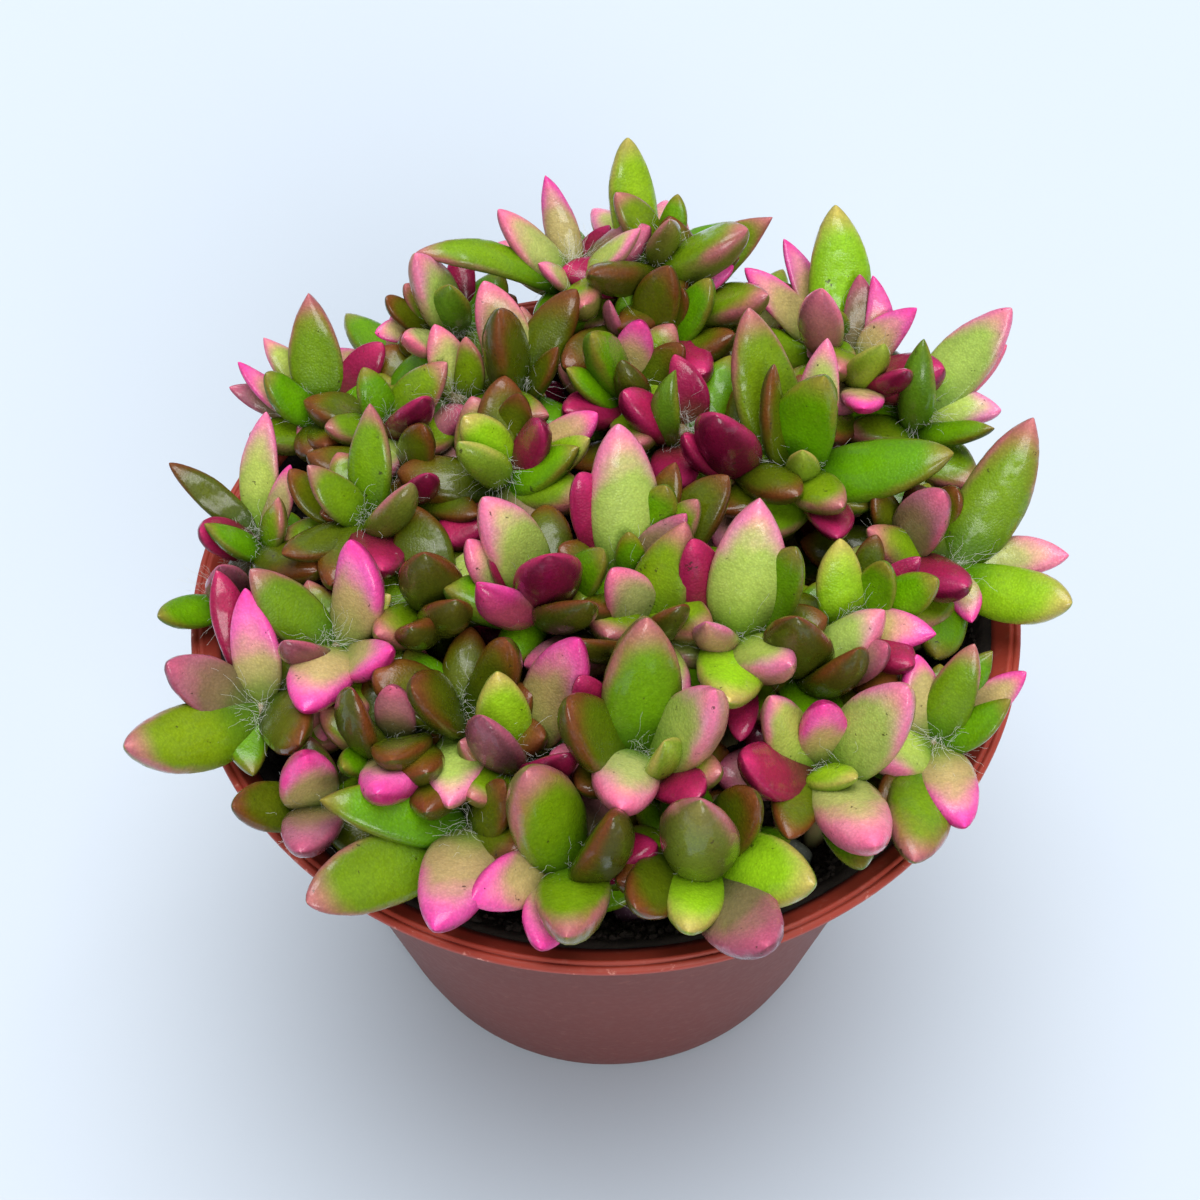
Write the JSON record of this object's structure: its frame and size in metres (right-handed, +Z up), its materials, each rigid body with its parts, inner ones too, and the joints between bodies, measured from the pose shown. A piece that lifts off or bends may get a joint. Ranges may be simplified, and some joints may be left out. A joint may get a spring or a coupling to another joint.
{
  "type": "potted anacampseros plant",
  "caption": "Low mounded succulent of small fleshy green and pink leaves, planted in a squat round plastic nursery pot.",
  "frame": {"origin": "centre of the pot's foot, on the surface it stands on", "axes": "+Z up, along the pot's axis; -Y towards the side the picture was taken from"},
  "size_m": [0.1117, 0.116, 0.1013],
  "materials": {
    "pot_plastic": "satin moulded polypropylene",
    "soil": "loose dark potting mix",
    "pebble": "smooth dull pebble",
    "leaf": "satin, finely pebbled fleshy leaf"
  },
  "bodies": {
    "root": {"pot": "pot_plastic", "soil": "soil", "pebble-1": "pebble", "pebble-2": "pebble", "pebble-3": "pebble", "pebble-4": "pebble", "shoot-01": "leaf", "shoot-02": "leaf", "shoot-03": "leaf", "shoot-04": "leaf", "shoot-05": "leaf", "shoot-06": "leaf", "shoot-07": "leaf", "shoot-08": "leaf", "shoot-09": "leaf", "shoot-10": "leaf", "shoot-11": "leaf", "shoot-12": "leaf", "shoot-13": "leaf", "shoot-14": "leaf", "shoot-15": "leaf", "shoot-16": "leaf", "shoot-17": "leaf", "shoot-18": "leaf", "shoot-19": "leaf", "shoot-20": "leaf", "shoot-21": "leaf", "shoot-22": "leaf", "shoot-23": "leaf", "shoot-24": "leaf", "shoot-25": "leaf", "shoot-26": "leaf", "shoot-27": "leaf", "shoot-28": "leaf", "shoot-29": "leaf", "shoot-30": "leaf", "shoot-31": "leaf", "shoot-32": "leaf", "shoot-33": "leaf", "shoot-34": "leaf", "shoot-35": "leaf", "shoot-36": "leaf", "shoot-37": "leaf", "shoot-38": "leaf", "shoot-39": "leaf", "shoot-40": "leaf", "shoot-41": "leaf", "shoot-42": "leaf", "shoot-43": "leaf", "shoot-44": "leaf"}
  },
  "joints": []
}
